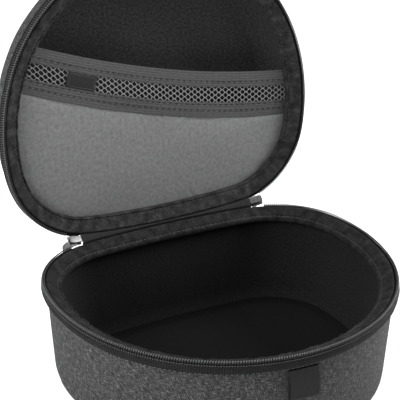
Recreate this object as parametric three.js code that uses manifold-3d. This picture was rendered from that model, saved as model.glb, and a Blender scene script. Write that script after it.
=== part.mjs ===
// Zippered hard-shell carrying case for headphones, standing open, in millimetres.
// +X runs along the hinge, -Y is the front, +Z is up. The origin is the centre of the base's flat
// underside. The lid and the two zip sliders are modelled shut, then swung open about the hinge.
import * as THREE from "three";
import { mergeVertices } from "three/addons/utils/BufferGeometryUtils.js";
import Module from "manifold-3d";

const wasm = await Module();
wasm.setup();

// Plan outline at the fattest line of the zip tape, as tangent arcs from the back's centre to the front's.
const BACK_RADIUS = 694;
const BACK_TURN = 5;
const CORNER_RADIUS = 64;
const CORNER_TURN = 75;
const SIDE_RADIUS = 141;
const SIDE_TURN = 30;

// Heights and opening.
const BASE_DEPTH = 80;
const LID_DEPTH = 42;
const LID_OPEN = 92.5;

// Wall build-up. An inset is measured inwards from the plan outline, a depth away from the parting plane.
const SHELL_INSET = 3.4;
const SHELL_DRAFT = 0.05;
const SHELL_THICK = 3.2;
const SHELL_TOP = 2.6;
const BASE_FILLET = 16;
const LID_FILLET = 18;
const LINING_GAP = 0.35;
const LINING_THICK = 0.8;
const LINING_TOP = 10.9;
const LINING_SPLIT = 55;
const FIT_GAP = 0.3;

// Rim: zip coil, zip tape and the padded binding inside it.
const COIL_INSET = [0.6, 3.0];
const COIL_DEPTH = [0.15, 2.6];
const TAPE_BOTTOM = 10.5;
const ZIP_START = 23;
const BINDING_TOP = 0.9;
const BINDING_REACH = 13.6;
const BINDING_BOTTOM = 10.3;

// Fabric hinge strip between the two zip ends.
const HINGE_INSET = 3.1;
const STRIP_END = 8.2;
const STRIP_LEG = 12.5;
const STRIP_THICK = 1;
const STRIP_BEND = 1.5;

// Zip sliders: local X is the zip's run, local Y points out of the case, local Z lies across the tape.
const SLIDER_TURN = 17.3;
const SLIDER_INSET = 0.4;
const SLIDER_LENGTH = 10.6;
const SLIDER_WIDTH = 8;
const SLIDER_INNER_WIDTH = 5.2;
const SLIDER_PLATE = 0.9;
const SLIDER_THICK = 4;
const SLIDER_NECK = [3, 2];
const BRIDGE_WIDTH = 3;
const BRIDGE_LENGTH = 8.4;
const BRIDGE_HEIGHT = 3.2;
const BRIDGE_BAR = 1;
const PULLER_WIDTH = 6.4;
const PULLER_THICK = 1.3;
const PULLER_EYE = 5.2;
const PULLER_REACH = 14.5;
const PULLER_PIVOT = 1.15;

// Lid pocket: a panel, an elastic band, a strip of net and a top elastic band, on a slant.
const POCKET_DEPTH = 10.7;
const POCKET_THICK = 1.2;
const POCKET_INSET = 8.6;
const POCKET_TOP = -13.6;
const POCKET_SLOPE = 0.24;
const POCKET_BOW = -0.0008;
const BAND_WIDTH = 11.5;
const NET_WIDTH = 12;
const TAG_CENTRE = -57;
const TAG_WIDTH = 22;
const TAG_HEIGHT = 11.2;
const TAG_THICK = 0.6;

// Front webbing loop.
const LOOP_X = -9;
const LOOP_WIDTH = 20;
const LOOP_TOP = 11.6;
const LOOP_LENGTH = 20;
const LOOP_THICK = 3.6;
const LOOP_NECK = 1.4;
const LOOP_WEB = 1.2;

const rad = THREE.MathUtils.degToRad;

// Half outline: each arc has its radius, start angle, end angle and centre.
function outlineArcs() {
  const turns = [BACK_TURN, CORNER_TURN, SIDE_TURN];
  const radii = [BACK_RADIUS, CORNER_RADIUS, SIDE_RADIUS];
  const arcs = [];
  let angle = 0;
  let x = 0;
  let y = 0;
  for (let k = 0; k < 4; k++) {
    const end = k < 3 ? angle + rad(turns[k]) : Math.PI;
    const radius = k < 3 ? radii[k] : x / Math.sin(angle);
    const cx = x - radius * Math.sin(angle);
    const cy = y - radius * Math.cos(angle);
    arcs.push({ radius, start: angle, end, cx, cy });
    x = cx + radius * Math.sin(end);
    y = cy + radius * Math.cos(end);
    angle = end;
  }
  for (const arc of arcs) arc.cy -= y / 2;
  return arcs;
}

const ARCS = outlineArcs();
const BACK_Y = ARCS[0].cy + ARCS[0].radius;
const HINGE_Y = BACK_Y - HINGE_INSET;
const PARTING = BASE_DEPTH;

// Point and outward normal where the outline's normal stands at an angle from the back, +X side positive.
function outlineAt(angle) {
  const a = Math.abs(angle);
  const arc = ARCS.find((piece) => a <= piece.end + 1e-9);
  const side = Math.sign(angle) || 1;
  const nx = Math.sin(a);
  const ny = Math.cos(a);
  return { x: side * (arc.cx + arc.radius * nx), y: arc.cy + arc.radius * ny, nx: side * nx, ny };
}

// Angles round the outline from one end to the other, about one every step degrees.
function outlineAngles(from, step) {
  const stops = ARCS.map((arc) => arc.start).filter((a) => a > from + 0.01);
  const marks = [from, ...stops, Math.PI];
  const half = [];
  for (let k = 0; k + 1 < marks.length; k++) {
    const count = Math.max(1, Math.round((marks[k + 1] - marks[k]) / rad(step)));
    for (let i = 0; i < count; i++) half.push(marks[k] + ((marks[k + 1] - marks[k]) * i) / count);
  }
  const back = half.map((a) => -a).reverse();
  return from === 0 ? [...half, Math.PI, ...back.slice(0, -1)] : [...half, Math.PI, ...back];
}

// A closed body from rows of points, turned inside out if its faces point in.
function body(points, triangles) {
  const flat = points.flatMap((p) => [p.x, p.y, p.z]);
  let volume = 0;
  for (const [a, b, c] of triangles) {
    volume += points[a].dot(new THREE.Vector3().crossVectors(points[b], points[c]));
  }
  const index = triangles.flatMap(([a, b, c]) => (volume > 0 ? [a, b, c] : [a, c, b]));
  const geometry = new THREE.BufferGeometry();
  geometry.setAttribute("position", new THREE.Float32BufferAttribute(flat, 3));
  geometry.setIndex(index);
  geometry.computeVertexNormals();
  return geometry;
}

// Skin the rows of points with quads. Rows that close on themselves wrap round.
function skin(rows, wrapRows, wrapAcross) {
  const across = rows[0].length;
  const triangles = [];
  for (let i = 0; i < (wrapRows ? rows.length : rows.length - 1); i++) {
    const next = (i + 1) % rows.length;
    for (let j = 0; j < (wrapAcross ? across : across - 1); j++) {
      const k = (j + 1) % across;
      triangles.push([i * across + j, i * across + k, next * across + k]);
      triangles.push([i * across + j, next * across + k, next * across + j]);
    }
  }
  return triangles;
}

// Two end caps for rows that don't wrap, from the flat section that every row repeats.
// The skin runs along the first row from each point to the next, so the first cap runs the other way.
function caps(section, rowCount) {
  const across = section.length;
  const flat = section.map(([u, v]) => new THREE.Vector2(u, v));
  const faces = THREE.ShapeUtils.triangulateShape(flat, []);
  const forward = faces.some(([a, b, c]) => [b - a, c - b, a - c].some((run) => run === 1));
  const first = forward ? faces.map(([a, b, c]) => [a, c, b]) : faces;
  const last = (rowCount - 1) * across;
  return [...first, ...first.map(([a, b, c]) => [last + a, last + c, last + b])];
}

function rimPoint(spot, [inset, depth], side) {
  return new THREE.Vector3(spot.x - spot.nx * inset, spot.y - spot.ny * inset, PARTING + side * depth);
}

// A section of [inset, depth] points carried round the outline, from the zip's start or all the way.
function rimBody(section, side, from = 0) {
  const angles = outlineAngles(rad(from), 7.5);
  const rows = angles.map((a) => section.map((point) => rimPoint(outlineAt(a), point, side)));
  const wraps = from === 0;
  const ends = wraps ? [] : caps(section, rows.length);
  return body(rows.flat(), [...skin(rows, wraps, true), ...ends]);
}

// A cup or plate: a line of [inset, depth] points carried round the outline, both ends filled in.
function cupBody(line, side) {
  const spots = outlineAngles(0, 7.5).map(outlineAt);
  const rows = line.map((point) => spots.map((spot) => rimPoint(spot, point, side)));
  const points = rows.flat();
  const triangles = skin(rows, false, true);
  for (const end of [0, rows.length - 1]) {
    const centre = points.length;
    points.push(new THREE.Vector3(0, 0, rows[end][0].z));
    for (let j = 0; j < spots.length; j++) {
      const a = end * spots.length + j;
      const b = end * spots.length + ((j + 1) % spots.length);
      triangles.push(end === 0 ? [b, a, centre] : [a, b, centre]);
    }
  }
  return body(points, triangles);
}

// One surface of a half, offset inwards from its outside: straight wall, then the fillet's arc.
function halfLine(depth, fillet, offset, top, fromAngle, toAngle) {
  const centreInset = SHELL_INSET + SHELL_DRAFT * (depth - fillet) + fillet;
  const line = [];
  if (top !== null) line.push([SHELL_INSET + SHELL_DRAFT * top + offset, top]);
  const steps = Math.max(1, Math.round((toAngle - fromAngle) / 18));
  for (let k = 0; k <= steps; k++) {
    const a = rad(fromAngle + ((toAngle - fromAngle) * k) / steps);
    const r = fillet - offset;
    line.push([centreInset - r * Math.cos(a), depth - fillet + r * Math.sin(a)]);
  }
  return line;
}

function shellBody(depth, fillet, side) {
  const outside = halfLine(depth, fillet, 0, SHELL_TOP, 0, 90);
  const inside = halfLine(depth, fillet, SHELL_THICK, SHELL_TOP, 0, 90);
  return cupBody([...outside.reverse(), ...inside], side);
}

function wallLiningBody(depth, fillet, side) {
  const near = SHELL_THICK + LINING_GAP;
  const split = LINING_SPLIT - 1.5;
  const behind = halfLine(depth, fillet, near, LINING_TOP, 0, split);
  const front = halfLine(depth, fillet, near + LINING_THICK, LINING_TOP, 0, split);
  return rimBody([...behind, ...front.reverse()], side);
}

function floorLiningBody(depth, fillet, side) {
  const near = SHELL_THICK + LINING_GAP;
  const split = LINING_SPLIT + 1.5;
  const behind = halfLine(depth, fillet, near, null, split, 90);
  const front = halfLine(depth, fillet, near + LINING_THICK, null, split, 90);
  return cupBody([...behind.reverse(), ...front], side);
}

// Padded binding: over the shell's edge, then sloping down to a lip inside the case.
function bindingBody(side) {
  const wall = SHELL_INSET + SHELL_THICK + FIT_GAP + SHELL_DRAFT * BINDING_BOTTOM;
  const section = [
    [SHELL_INSET, SHELL_TOP - FIT_GAP],
    [SHELL_INSET, BINDING_TOP + 0.6],
    [SHELL_INSET + 0.8, BINDING_TOP],
    [SHELL_INSET + 2, BINDING_TOP],
    [BINDING_REACH - 0.6, BINDING_BOTTOM - 3.2],
    [BINDING_REACH, BINDING_BOTTOM - 1.4],
    [BINDING_REACH - 0.8, BINDING_BOTTOM],
    [wall, BINDING_BOTTOM],
    [wall, SHELL_TOP - FIT_GAP],
  ];
  return rimBody(section, side);
}

// Zip tape: a curved band that swells out past the shell and is sewn down below.
function tapeBody(side) {
  const back = SHELL_INSET - FIT_GAP;
  const section = [
    [back, COIL_DEPTH[1] + FIT_GAP],
    [0.9, COIL_DEPTH[1] + FIT_GAP],
    [0.1, 4.6],
    [0.2, 7.2],
    [1.1, TAPE_BOTTOM - 0.8],
    [1.9, TAPE_BOTTOM],
    [back, TAPE_BOTTOM],
  ];
  return rimBody(section, side, ZIP_START);
}

function coilBody(side) {
  const [out, back] = COIL_INSET;
  const [top, bottom] = COIL_DEPTH;
  return rimBody([[out, top], [back, top], [back, bottom], [out, bottom]], side, ZIP_START);
}

// Hinge strip in its opened shape: down the base's back, round the hinge and along under the lid's back.
function hingeStripBody() {
  const count = 12;
  const rows = [];
  let section = [];
  for (let i = 0; i <= count; i++) {
    const spot = outlineAt(rad(STRIP_END) * ((2 * i) / count - 1));
    const sag = BACK_Y - spot.y;
    section = stripSection(sag);
    rows.push(section.map(([y, z]) => new THREE.Vector3(spot.x, HINGE_Y + y, PARTING + z)));
  }
  return body(rows.flat(), [...skin(rows, false, true), ...caps(section, rows.length)]);
}

// The strip's section about the hinge line, its faces offset from the walls by the local sag of the back.
function stripSection(sag) {
  const inner = HINGE_INSET - SHELL_INSET + FIT_GAP - sag;
  const tilt = rad(LID_OPEN - 90);
  const face = (offset) => {
    const points = [[inner + offset, -STRIP_LEG]];
    for (let k = 0; k <= 3; k++) {
      const a = (Math.PI / 2) * (k / 3);
      const bend = STRIP_BEND - offset + STRIP_THICK;
      const centre = [inner + STRIP_BEND + STRIP_THICK, -inner - STRIP_BEND - STRIP_THICK];
      points.push([centre[0] - bend * Math.cos(a), centre[1] + bend * Math.sin(a)]);
    }
    const reach = STRIP_LEG - STRIP_BEND;
    const last = points.at(-1);
    points.push([last[0] + reach * Math.cos(tilt), last[1] - reach * Math.sin(tilt)]);
    return points;
  };
  return [...face(0), ...face(STRIP_THICK).reverse()];
}

function toManifold(geometry) {
  geometry.deleteAttribute("normal");
  geometry.deleteAttribute("uv");
  const merged = mergeVertices(geometry);
  const mesh = new wasm.Mesh({
    numProp: 3,
    vertProperties: new Float32Array(merged.attributes.position.array),
    triVerts: new Uint32Array(merged.index.array),
  });
  return new wasm.Manifold(mesh);
}

function fromManifold(solid) {
  const mesh = solid.getMesh();
  const geometry = new THREE.BufferGeometry();
  geometry.setAttribute("position", new THREE.BufferAttribute(mesh.vertProperties, 3));
  geometry.setIndex(new THREE.BufferAttribute(mesh.triVerts, 1));
  geometry.computeVertexNormals();
  return geometry;
}

// Front-to-back place of the pocket's top edge across the lid.
function pocketEdge(x) {
  return POCKET_TOP + POCKET_SLOPE * x + POCKET_BOW * x * x;
}

// The strip of the lid's mouth between two distances behind the pocket's top edge.
function pocketSlice(near, far) {
  const reach = BACK_Y * 1.3;
  const steps = 12;
  const shape = new THREE.Shape();
  for (let i = 0; i <= steps; i++) {
    const x = reach * ((2 * i) / steps - 1);
    const y = pocketEdge(x) + near;
    if (i === 0) shape.moveTo(x, y);
    else shape.lineTo(x, y);
  }
  for (let i = steps; i >= 0; i--) {
    const x = reach * ((2 * i) / steps - 1);
    shape.lineTo(x, far === null ? BACK_Y * 2 : pocketEdge(x) + far);
  }
  const strip = new THREE.ExtrudeGeometry(shape, { depth: LID_DEPTH, bevelEnabled: false });
  strip.translate(0, 0, PARTING);
  const plate = cupBody([[POCKET_INSET, POCKET_DEPTH], [POCKET_INSET, POCKET_DEPTH + POCKET_THICK]], 1);
  return fromManifold(toManifold(plate).intersect(toManifold(strip)));
}

// A woven label sewn over the net, on the side that faces out of the lid.
function tagBody() {
  const geometry = new THREE.BoxGeometry(TAG_WIDTH, TAG_HEIGHT, TAG_THICK);
  const slope = Math.atan(POCKET_SLOPE + 2 * POCKET_BOW * TAG_CENTRE);
  geometry.rotateZ(slope);
  const middle = pocketEdge(TAG_CENTRE) + BAND_WIDTH + NET_WIDTH / 2;
  geometry.translate(TAG_CENTRE, middle, PARTING + POCKET_DEPTH - FIT_GAP - TAG_THICK / 2);
  return geometry;
}

// One plate of a slider, with its four corners cut off, laid from y upwards.
function sliderPlate(width, cut, y) {
  const half = width / 2;
  const nose = SLIDER_LENGTH / 2;
  const plate = new THREE.Shape();
  plate.moveTo(-nose, -half + cut);
  plate.lineTo(-nose + cut, -half);
  plate.lineTo(nose - cut, -half);
  plate.lineTo(nose, -half + cut);
  plate.lineTo(nose, half - cut);
  plate.lineTo(nose - cut, half);
  plate.lineTo(-nose + cut, half);
  plate.lineTo(-nose, half - cut);
  plate.closePath();
  const geometry = new THREE.ExtrudeGeometry(plate, { depth: SLIDER_PLATE, bevelEnabled: false });
  geometry.rotateX(-Math.PI / 2);
  geometry.translate(0, y, 0);
  return toManifold(geometry);
}

// Two plates joined by a neck, which the two rows of the coil pass on either side.
function sliderBody() {
  const inner = sliderPlate(SLIDER_INNER_WIDTH, SLIDER_INNER_WIDTH / 4, -SLIDER_THICK / 2);
  const outer = sliderPlate(SLIDER_WIDTH, SLIDER_WIDTH / 4, SLIDER_THICK / 2 - SLIDER_PLATE);
  const [neckLength, neckWidth] = SLIDER_NECK;
  const neck = toManifold(new THREE.BoxGeometry(neckLength, SLIDER_THICK - SLIDER_PLATE, neckWidth));
  return fromManifold(inner.add(outer).add(neck));
}

// The arch over the slider that holds the puller's eye.
function bridgeBody() {
  const half = BRIDGE_LENGTH / 2;
  const foot = SLIDER_THICK / 2 + FIT_GAP;
  const top = foot + BRIDGE_HEIGHT;
  const arch = new THREE.Shape();
  arch.moveTo(-half, foot);
  arch.lineTo(-half + BRIDGE_BAR, foot);
  arch.lineTo(-half + BRIDGE_BAR, top - BRIDGE_BAR);
  arch.lineTo(half - BRIDGE_BAR, top - BRIDGE_BAR);
  arch.lineTo(half - BRIDGE_BAR, foot);
  arch.lineTo(half, foot);
  arch.lineTo(half, top - BRIDGE_BAR);
  arch.lineTo(half - BRIDGE_BAR, top);
  arch.lineTo(-half + BRIDGE_BAR, top);
  arch.lineTo(-half, top - BRIDGE_BAR);
  arch.closePath();
  const geometry = new THREE.ExtrudeGeometry(arch, { depth: BRIDGE_WIDTH, bevelEnabled: false });
  geometry.translate(0, 0, -BRIDGE_WIDTH / 2);
  return geometry;
}

// The puller hangs straight out from the slider: an eye round the bridge, then a tab with a round end.
function pullerBody() {
  const half = PULLER_WIDTH / 2;
  const outline = new THREE.Shape();
  outline.moveTo(-half, -PULLER_THICK / 2);
  outline.lineTo(half, -PULLER_THICK / 2);
  outline.lineTo(half, PULLER_REACH - half);
  outline.absarc(0, PULLER_REACH - half, half, 0, Math.PI, false);
  outline.closePath();
  const eye = new THREE.Path();
  const side = BRIDGE_WIDTH / 2 + 0.45;
  eye.moveTo(-side, PULLER_THICK / 2);
  eye.lineTo(-side, PULLER_EYE);
  eye.lineTo(side, PULLER_EYE);
  eye.lineTo(side, PULLER_THICK / 2);
  eye.closePath();
  outline.holes.push(eye);
  const settings = { depth: PULLER_THICK, bevelEnabled: false, curveSegments: 5 };
  const geometry = new THREE.ExtrudeGeometry(outline, settings);
  geometry.translate(0, SLIDER_THICK / 2 + PULLER_PIVOT, -PULLER_THICK / 2);
  geometry.rotateY(Math.PI / 2);
  return geometry;
}

// Folded webbing, sewn flat at its top, with the gap that a clip goes through.
function loopBody() {
  const shape = new THREE.Shape();
  const bottom = LOOP_THICK / 2;
  shape.moveTo(0, 0);
  shape.lineTo(0, -LOOP_LENGTH + bottom);
  shape.absarc(bottom, -LOOP_LENGTH + bottom, bottom, Math.PI, 2 * Math.PI, false);
  shape.lineTo(LOOP_THICK, -4);
  shape.lineTo(LOOP_NECK, 0);
  shape.closePath();
  const gap = new THREE.Path();
  const radius = bottom - LOOP_WEB;
  gap.moveTo(LOOP_WEB, -4.4);
  gap.lineTo(LOOP_THICK - LOOP_WEB, -4.4);
  gap.lineTo(LOOP_THICK - LOOP_WEB, -LOOP_LENGTH + bottom);
  gap.absarc(bottom, -LOOP_LENGTH + bottom, radius, 0, -Math.PI, true);
  gap.closePath();
  shape.holes.push(gap);
  const settings = { depth: LOOP_WIDTH, bevelEnabled: false, curveSegments: 6 };
  const geometry = new THREE.ExtrudeGeometry(shape, settings);
  geometry.translate(0, 0, -LOOP_WIDTH / 2);
  geometry.rotateX(Math.PI / 2);
  geometry.rotateZ(-Math.PI / 2);
  return geometry;
}

const FINISHES = {
  shell: { color: 0x55585a, roughness: 0.95, metalness: 0 },
  lining: { color: 0x161616, roughness: 1, metalness: 0 },
  tape: { color: 0x2a2a2b, roughness: 0.9, metalness: 0 },
  coil: { color: 0x3a3a3a, roughness: 0.5, metalness: 0 },
  binding: { color: 0x313131, roughness: 0.9, metalness: 0 },
  jersey: { color: 0x7a7a7a, roughness: 0.95, metalness: 0 },
  elastic: { color: 0x5c5c5c, roughness: 0.9, metalness: 0 },
  net: { color: 0x9a9a9a, roughness: 0.8, metalness: 0 },
  label: { color: 0x111111, roughness: 0.8, metalness: 0 },
  metal: { color: 0xa8a8a8, roughness: 0.3, metalness: 1 },
};

function piece(name, geometry, finish) {
  const mesh = new THREE.Mesh(geometry, new THREE.MeshStandardMaterial(FINISHES[finish]));
  mesh.name = name;
  return mesh;
}

// A group that swings about the hinge line, for pieces modelled in the shut position.
function swungAboutHinge(degrees) {
  const turn = new THREE.Group();
  turn.position.set(0, HINGE_Y, PARTING);
  turn.rotation.x = -rad(degrees);
  const shut = new THREE.Group();
  shut.position.set(0, -HINGE_Y, -PARTING);
  turn.add(shut);
  return { turn, shut };
}

// The pieces that both halves share.
function halfPieces(name, floorName, depth, fillet, side) {
  return [
    piece(`${name}_shell`, shellBody(depth, fillet, side), "shell"),
    piece(`${name}_wall_lining`, wallLiningBody(depth, fillet, side), "lining"),
    piece(`${name}_${floorName}`, floorLiningBody(depth, fillet, side), "lining"),
    piece(`${name}_binding`, bindingBody(side), "binding"),
    piece(`${name}_zip_tape`, tapeBody(side), "tape"),
    piece(`${name}_zip_coil`, coilBody(side), "coil"),
  ];
}

function pocketPieces() {
  const netStart = BAND_WIDTH + FIT_GAP;
  const lowerStart = BAND_WIDTH + NET_WIDTH;
  const panelStart = lowerStart + BAND_WIDTH;
  return [
    piece("pocket_top_elastic", pocketSlice(0, BAND_WIDTH), "elastic"),
    piece("pocket_net", pocketSlice(netStart, lowerStart - FIT_GAP), "net"),
    piece("pocket_lower_elastic", pocketSlice(lowerStart, panelStart), "elastic"),
    piece("pocket_panel", pocketSlice(panelStart + FIT_GAP, null), "jersey"),
    piece("pocket_label", tagBody(), "label"),
  ];
}

function sliderPieces(side, sideName) {
  const spot = outlineAt(rad(SLIDER_TURN) * side);
  const group = new THREE.Group();
  group.position.set(spot.x - spot.nx * SLIDER_INSET, spot.y - spot.ny * SLIDER_INSET, PARTING);
  group.rotation.z = -rad(SLIDER_TURN) * side;
  group.add(piece(`${sideName}_slider_body`, sliderBody(), "metal"));
  group.add(piece(`${sideName}_slider_bridge`, bridgeBody(), "metal"));
  group.add(piece(`${sideName}_puller`, pullerBody(), "metal"));
  return group;
}

function frontLoop() {
  const front = ARCS[3];
  const angle = Math.PI - Math.asin(Math.abs(LOOP_X) / front.radius);
  const spot = outlineAt(Math.sign(LOOP_X) * angle);
  const inset = SHELL_INSET - FIT_GAP;
  const mesh = piece("front_loop", loopBody(), "tape");
  mesh.position.set(spot.x - spot.nx * inset, spot.y - spot.ny * inset, PARTING - LOOP_TOP);
  mesh.rotation.z = Math.atan2(spot.nx, -spot.ny);
  return mesh;
}

const carryingCase = new THREE.Group();
const lid = swungAboutHinge(LID_OPEN);
const sliders = swungAboutHinge(LID_OPEN / 2);
carryingCase.add(...halfPieces("base", "floor_lining", BASE_DEPTH, BASE_FILLET, -1));
carryingCase.add(piece("hinge_strip", hingeStripBody(), "tape"), frontLoop());
lid.shut.add(...halfPieces("lid", "ceiling_lining", LID_DEPTH, LID_FILLET, 1), ...pocketPieces());
sliders.shut.add(sliderPieces(-1, "left"), sliderPieces(1, "right"));
carryingCase.add(lid.turn, sliders.turn);

export default carryingCase;
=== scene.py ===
"""The looks of the zippered headphone case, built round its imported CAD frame.

Metres, +X along the hinge, -Y the front, +Z up. Each half is drawn shut, as insets from the plan outline
and depths from the parting plane, and the lid is then swung open about the hinge.
"""
import math

import bmesh
import bpy
import numpy as np
from mathutils import Matrix, Vector


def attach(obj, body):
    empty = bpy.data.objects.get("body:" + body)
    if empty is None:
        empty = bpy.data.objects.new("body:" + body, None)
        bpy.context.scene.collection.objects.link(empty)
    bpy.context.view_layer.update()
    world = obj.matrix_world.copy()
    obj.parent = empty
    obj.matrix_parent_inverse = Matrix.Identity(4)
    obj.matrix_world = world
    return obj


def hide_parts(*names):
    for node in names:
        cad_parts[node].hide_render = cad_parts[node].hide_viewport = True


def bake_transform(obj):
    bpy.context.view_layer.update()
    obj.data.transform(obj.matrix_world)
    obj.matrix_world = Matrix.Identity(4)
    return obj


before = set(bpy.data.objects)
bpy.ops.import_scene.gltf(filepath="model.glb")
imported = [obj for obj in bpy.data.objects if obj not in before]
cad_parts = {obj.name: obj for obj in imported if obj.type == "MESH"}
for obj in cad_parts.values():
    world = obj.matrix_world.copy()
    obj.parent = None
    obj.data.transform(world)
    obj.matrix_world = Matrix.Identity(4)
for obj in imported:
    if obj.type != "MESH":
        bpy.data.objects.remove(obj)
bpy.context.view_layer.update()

MM = 0.001

# Plan outline at the fattest line of the zip tape, as tangent arcs from the back's centre to the front's.
BACK_RADIUS = 694 * MM
BACK_TURN = 5
CORNER_RADIUS = 64 * MM
CORNER_TURN = 75
SIDE_RADIUS = 141 * MM
SIDE_TURN = 30

# Wall build-up, as in the frame.
PARTING = 80 * MM
LID_DEPTH = 42 * MM
BASE_FILLET = 16 * MM
LID_FILLET = 18 * MM
LID_OPEN = math.radians(92.5)
HINGE_INSET = 3.1 * MM
SHELL_INSET = 3.4 * MM
SHELL_DRAFT = 0.05
SHELL_THICK = 3.2 * MM
SHELL_TOP = 2.6 * MM
SHELL_DENT = 0.22 * MM
LINING_OFFSET = 3.5 * MM
LINING_THICK = 0.8 * MM
LINING_TOP = 10.4 * MM
LINING_PUFF = 0.35 * MM
GRAIN_LEAN = 0.4
# The crease between wall and floor linings, and half its gap, in degrees round the fillet.
LINING_SPLIT = 55
LINING_GAP = 0.5

# Where the coil, the tape and the hinge cloth end and the sliders sit, in degrees of the outline's turn.
COIL_START = 22.7
TAPE_START = 13
WEB_END = 13.2
SLIDER_TURN = 17.3

# Binding: its section as (inset, depth) in millimetres, and the sewn groove in it.
BINDING_SECTION = [(3.5, 3.0), (3.45, 2.1), (4.1, 1.35), (5.4, 1.6), (8.4, 3.6), (10.6, 5.1), (11.2, 6.1),
                   (11.8, 6.3), (12.6, 5.95), (13.5, 6.6), (13.8, 8.1), (13.4, 9.6), (12.2, 10.3),
                   (8.0, 10.3)]
BINDING_BACK = 7.4 * MM
GROOVE = (11.5 * MM, 6.2 * MM)
STITCH_PITCH = 3.4 * MM

# Zip: the tape's section as (inset, depth), and each seam's inset, depth, pitch, stitch length and radius.
TOOTH_PITCH = 1.65 * MM
TAPE_SECTION = [(3.2, 3.0), (2.2, 2.75), (1.3, 2.75), (0.65, 3.25), (0.3, 4.4), (0.15, 5.8), (0.35, 7.4),
                (0.95, 8.8), (1.5, 9.5), (1.75, 9.9), (2.2, 10.35), (3.0, 10.5), (3.88, 10.6)]
TAPE_SEAMS = [(1.62, 9.72, 3.1, 2.3, 0.2), (0.62, 3.3, 1.65, 1.0, 0.24)]
TAPE_CLEAR = 0.03 * MM
TAPE_TAPER = 3 * MM
COIL_INSET = 1.75 * MM
COIL_DEPTH = 1.45 * MM
COIL_WIDE = 1.02 * MM
COIL_TALL = 1.12 * MM
CORE_INSET = 1.9 * MM
CORE_DEPTH = 2 * MM
CORE_RADIUS = 0.5 * MM

# Hinge cloth.
WEB_LEG = 12.5 * MM
WEB_STAND_OFF = 2.6 * MM
WEB_RIM = 3.2 * MM
WEB_HALF_THICK = 0.45 * MM

# Zip sliders.
SLIDER_INSET = 0.4 * MM
SLIDER_THICK = 4 * MM
SLIDER_PLATE = 0.9 * MM
SLIDER_ARCH = 3 * MM
# A slider's own axes run along the zip, out of it and across it. Its plates face out, the tab faces along.
ALONG, _, ACROSS = np.eye(3)
FACING_OUT = [0, 2, 1]
FACING_ALONG = [1, 2, 0]

# Lid pocket.
POCKET_DEPTH = 10.7 * MM
POCKET_INSET = 8.6 * MM
POCKET_TOP = -13.6 * MM
POCKET_SLOPE = 0.24
POCKET_BOW = -0.8
BAND_WIDTH = 11.5 * MM
BAND_RIB = 1.9 * MM
NET_WIDTH = 12 * MM
NET_HEM = 1 * MM
NET_PITCH = 5.7 * MM
NET_ROW = 2.05 * MM
PANEL_CENTRE = (0.0, 48 * MM)
PANEL_THICK = 0.8 * MM
PANEL_CROWN = 1.3 * MM
LABEL_CENTRE = -57 * MM
LABEL_SIZE = (22 * MM, 11.2 * MM)
LABEL_BORDER = 1.3 * MM

# Front webbing loop.
LOOP_X = -9 * MM
LOOP_WIDTH = 20 * MM
LOOP_TOP = 11.6 * MM
LOOP_LENGTH = 20 * MM
LOOP_THICK = 4.4 * MM
LOOP_WEB = 1.1 * MM
LOOP_NECK = 1.4 * MM
LOOP_TUCK = 0.15 * MM
LOOP_STAND_OFF = 0.3 * MM

# Camera and studio.
CAMERA_AZIMUTH = -27.82
CAMERA_ELEVATION = 24.08
CAMERA_TARGET = (-25.8 * MM, 0, 141.8 * MM)
CAMERA_DISTANCE = 713.6 * MM
CAMERA_LENS = 101.3
FLOOR_REACH = 6.0
# The sky's strength between two heights, the softboxes' places, widths and watts, and the overhead light.
SKY = {"From Min": 0.05, "From Max": 0.9, "To Min": 0.64, "To Max": 0.18}
SOFTBOXES = {"left": ((-1.12, -0.1, 0.78), 0.9, 33.0), "right": ((1.15, -0.15, 0.7), 0.8, 37.0)}
SOFTBOX_TARGET = (-20 * MM, 0, 100 * MM)
OVERHEAD_STRENGTH = 1.2
OVERHEAD_SPREAD = 60

# Fineness of the meshes: steps along them, rings in them, points across them.
SHELL_STEP = 2.6 * MM
SHELL_RINGS = 16
LINING_STEP = 2.4 * MM
LINING_RINGS = 22
BINDING_STEP = 1.1 * MM
BINDING_ROWS = 54
TAPE_STEP = 1.6 * MM
TAPE_ROWS = 30
CORE_STEP = 3 * MM
WEB_STEP = 1.5 * MM
BAND_ROWS = 40
BAND_COUNT = 175
NET_STEP = 0.42 * MM
PANEL_STEP = 1.5 * MM
PANEL_RINGS = 34
SHARP_ANGLE = math.radians(50)
WELD = 1e-6


# ---------------------------------------------------------------- outline and places

def outline_arcs():
    """Rows of radius, start angle, centre x, centre y and distance walked before it, and the half length."""
    turns = [BACK_TURN, CORNER_TURN, SIDE_TURN]
    radii = [BACK_RADIUS, CORNER_RADIUS, SIDE_RADIUS]
    arcs = []
    angle = 0.0
    x = 0.0
    y = 0.0
    walked = 0.0
    for k in range(4):
        end = angle + math.radians(turns[k]) if k < 3 else math.pi
        radius = radii[k] if k < 3 else x / math.sin(angle)
        centre_x = x - radius * math.sin(angle)
        centre_y = y - radius * math.cos(angle)
        arcs.append([radius, angle, centre_x, centre_y, walked])
        walked += radius * (end - angle)
        x = centre_x + radius * math.sin(end)
        y = centre_y + radius * math.cos(end)
        angle = end
    arcs = np.array(arcs)
    arcs[:, 3] -= y / 2
    return arcs, walked


ARCS, HALF = outline_arcs()
BACK_Y = ARCS[0, 0] + ARCS[0, 3]
HINGE_Y = BACK_Y - HINGE_INSET


def run_at(degrees):
    """Distance along the outline from the back's centre to where its normal has turned by an angle."""
    angle = math.radians(abs(degrees))
    arc = ARCS[np.searchsorted(ARCS[:, 1], angle, side="right") - 1]
    return math.copysign(arc[4] + arc[0] * (angle - arc[1]), degrees)


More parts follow.
